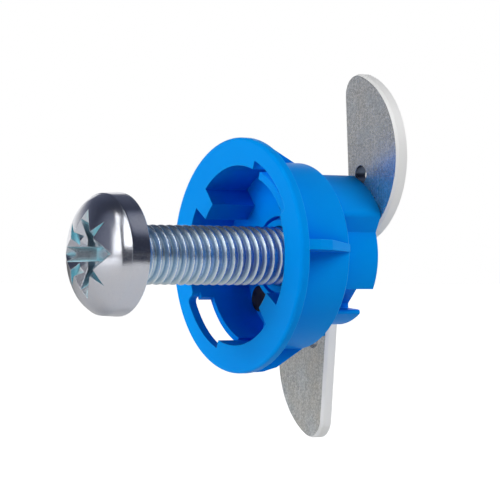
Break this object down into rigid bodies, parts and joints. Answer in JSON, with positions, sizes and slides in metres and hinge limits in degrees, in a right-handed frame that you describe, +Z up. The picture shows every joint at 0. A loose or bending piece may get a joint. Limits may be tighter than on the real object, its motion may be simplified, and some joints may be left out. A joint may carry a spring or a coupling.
{
  "type": "drywall anchor",
  "caption": "Plasterboard anchor with a flanged plastic barrel, steel wings that swing out behind the board, and a pan head screw with a cross recess.",
  "frame": {"origin": "centre of the flange's rear face, the face that seats on the board", "axes": "+Y along the screw into the wall, +Z up with the wings open upwards and downwards, +X to the right seen from the room"},
  "size_m": [0.0312, 0.0421, 0.0493],
  "materials": {
    "plastic_blue": "moulded plastic, satin gloss",
    "wing_steel": "zinc plated sheet steel, fine grain",
    "rivet_steel": "plain steel",
    "screw_steel": "bright zinc plated"
  },
  "bodies": {
    "anchor": {"anchor_body": "plastic_blue", "rivet_upper": "rivet_steel", "rivet_lower": "rivet_steel"},
    "upper_wing": {"wing_upper": "wing_steel"},
    "lower_wing": {"wing_lower": "wing_steel"},
    "screw": {"screw": "screw_steel"}
  },
  "joints": [
    {"name": "wing_upper_swing", "type": "hinge", "parent": "anchor", "child": "upper_wing", "pos_m": [0.00775, 0.0163, 0.00575], "axis": [0, 1, 0], "range_deg": [-86.5, 11.5]},
    {"name": "wing_lower_swing", "type": "hinge", "parent": "anchor", "child": "lower_wing", "pos_m": [-0.00775, 0.0163, -0.00575], "axis": [0, 1, 0], "range_deg": [-95.6, 2.4]},
    {"name": "screw_drive", "type": "slide", "parent": "anchor", "child": "screw", "axis": [0, 1, 0], "range_m": [-0.004, 0.0042]}
  ]
}
